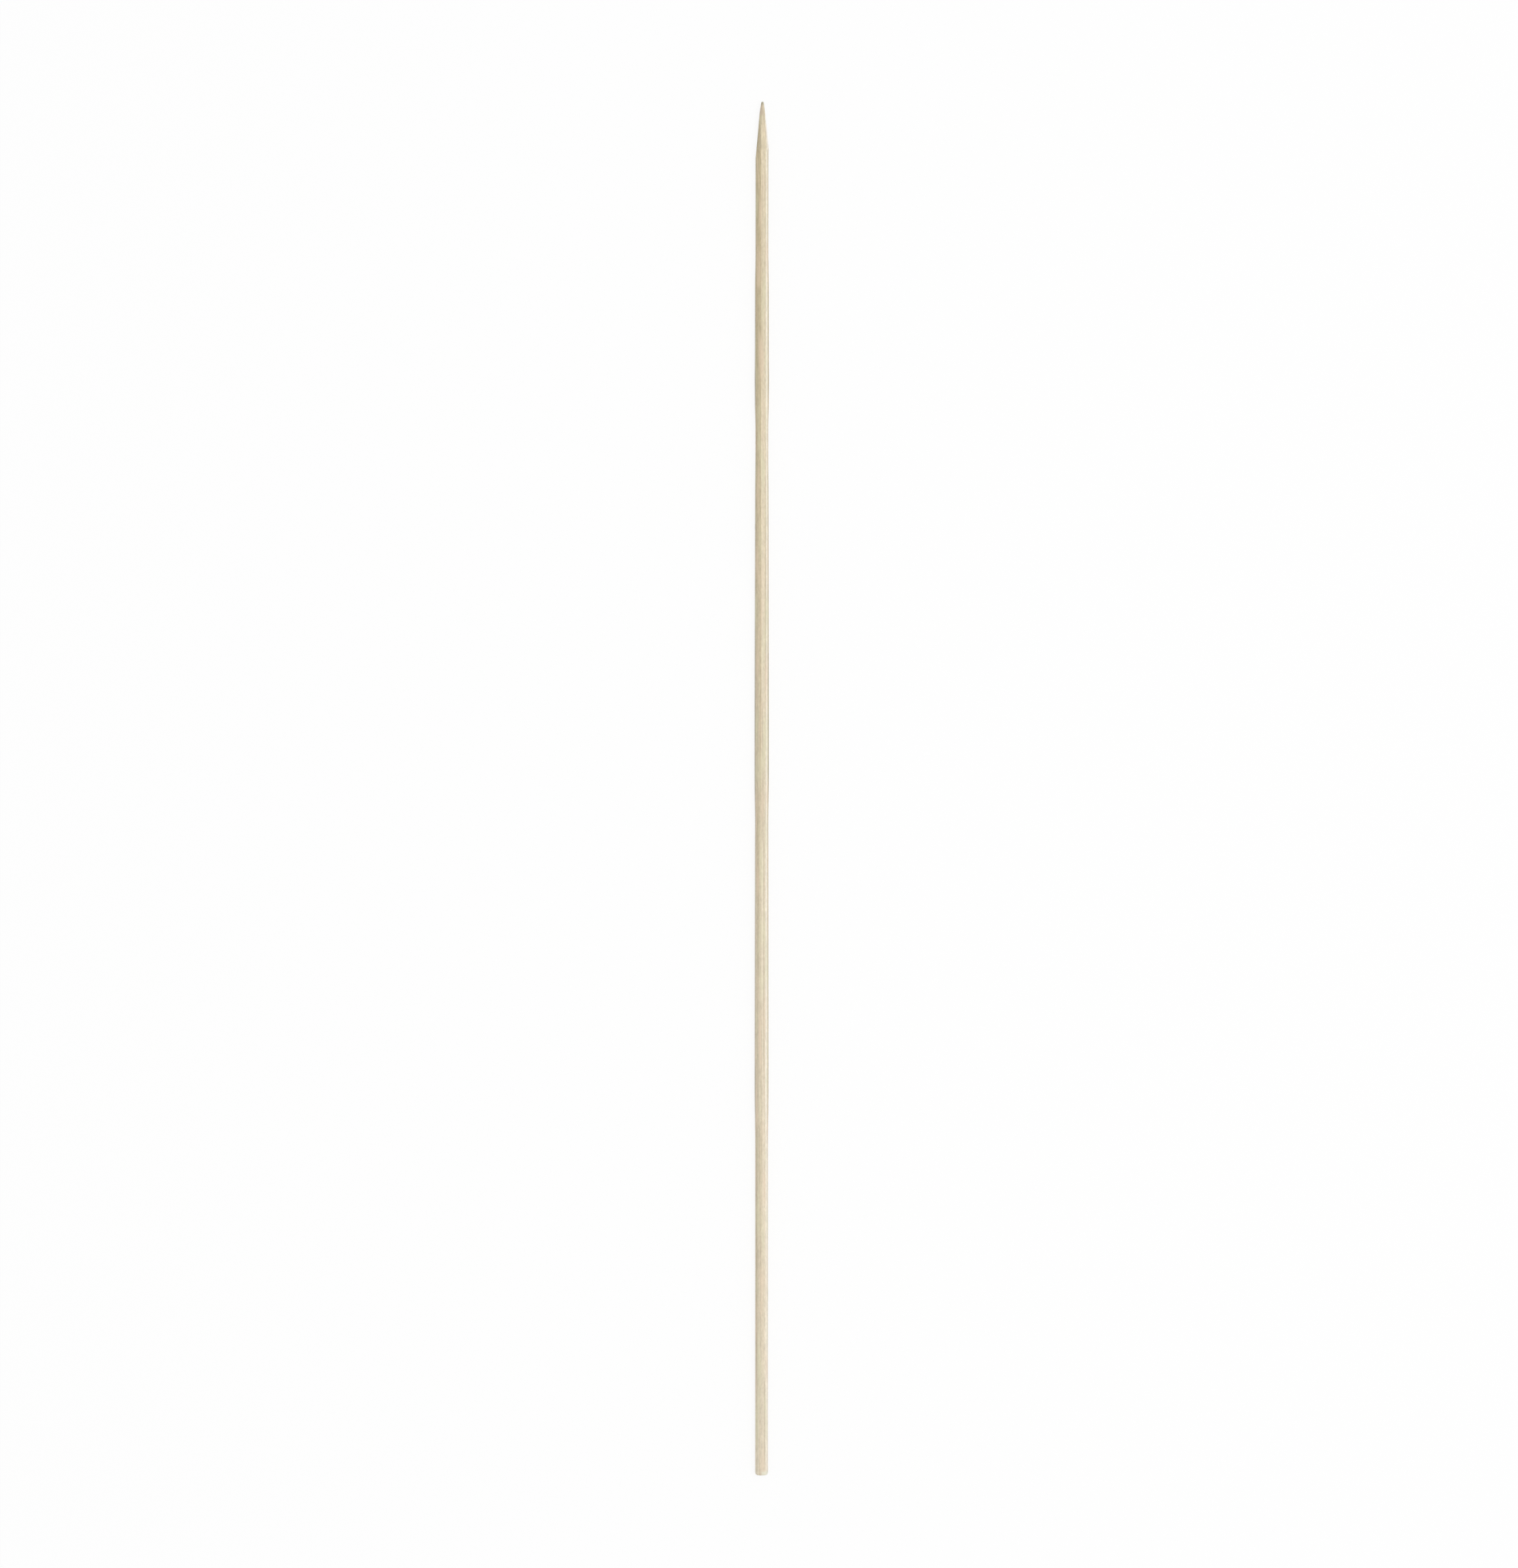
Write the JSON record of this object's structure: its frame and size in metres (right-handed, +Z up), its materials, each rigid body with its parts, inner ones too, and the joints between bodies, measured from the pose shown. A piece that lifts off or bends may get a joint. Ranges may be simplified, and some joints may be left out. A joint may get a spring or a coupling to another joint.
{
  "type": "bamboo skewer",
  "caption": "Straight round bamboo stick with a ground point at one end and a square cut end, for threading and grilling food.",
  "frame": {"origin": "midway along the stick, on the surface that it lies on, under its axis", "axes": "+Y along the stick towards its point, +Z up from the surface that it lies on"},
  "size_m": [0.0032, 0.3, 0.0031],
  "materials": {
    "bamboo": "dry, sanded, unvarnished pale bamboo with straight fibres along the length"
  },
  "bodies": {
    "root": {"skewer": "bamboo"}
  },
  "joints": []
}
